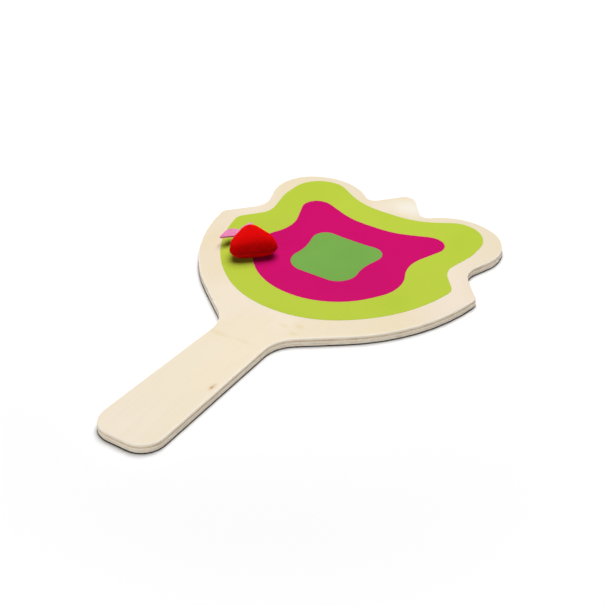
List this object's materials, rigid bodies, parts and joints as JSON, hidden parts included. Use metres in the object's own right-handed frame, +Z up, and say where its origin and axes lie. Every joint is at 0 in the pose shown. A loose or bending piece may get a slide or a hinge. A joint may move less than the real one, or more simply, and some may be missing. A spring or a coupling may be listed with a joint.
{
  "type": "paddle ball game",
  "caption": "Wooden bat with a flat handle and a wavy, petal-edged head printed in colour bands, and a small soft red felt ball with pink petals lying on it.",
  "frame": {"origin": "middle of the bounding box at the underside of the bat", "axes": "+Y along the bat from the end of the handle to the head, +Z up through the board, +X across to the right"},
  "size_m": [0.2044, 0.33, 0.0235],
  "materials": {
    "ply_light": "sanded light plywood veneer, clear satin lacquer",
    "ply_tan": "sanded end grain of the darker cross plies",
    "ink_lime": "screen-printed ink, satin",
    "ink_magenta": "screen-printed ink, satin",
    "ink_green": "screen-printed ink, satin",
    "felt_red": "thick wool felt, softly fuzzy",
    "felt_pink": "thick wool felt, softly fuzzy",
    "wadding": "loose white wadding",
    "thread_red": "twisted sewing thread"
  },
  "bodies": {
    "paddle": {"back_ply": "ply_light", "lower_cross_ply": "ply_tan", "core_ply": "ply_light", "upper_cross_ply": "ply_tan", "face_ply": "ply_light", "lime_band": "ink_lime", "magenta_band": "ink_magenta", "centre_patch": "ink_green"},
    "ball": {"ball_base_cover": "felt_red", "ball_top_cover": "felt_red", "ball_filling": "wadding", "ball_seam_thread": "thread_red"},
    "left_petal": {"left_petal": "felt_pink"},
    "rear_petal": {"rear_petal": "felt_pink"}
  },
  "joints": [
    {"name": "ball_lift", "type": "slide", "parent": "paddle", "child": "ball", "axis": [0, 0, 1], "range_m": [0, 0.2]},
    {"name": "left_petal_flex", "type": "hinge", "parent": "ball", "child": "left_petal", "pos_m": [-0.06604, 0.04553, 0.0136], "axis": [-0.1045, 0.9945, 0], "range_deg": [-20, 60], "stiffness_Nm_per_rad": 0.0003},
    {"name": "rear_petal_flex", "type": "hinge", "parent": "ball", "child": "rear_petal", "pos_m": [-0.06411, 0.05239, 0.0136], "axis": [0.7145, 0.6997, 0], "range_deg": [-12, 60], "stiffness_Nm_per_rad": 0.0003}
  ]
}
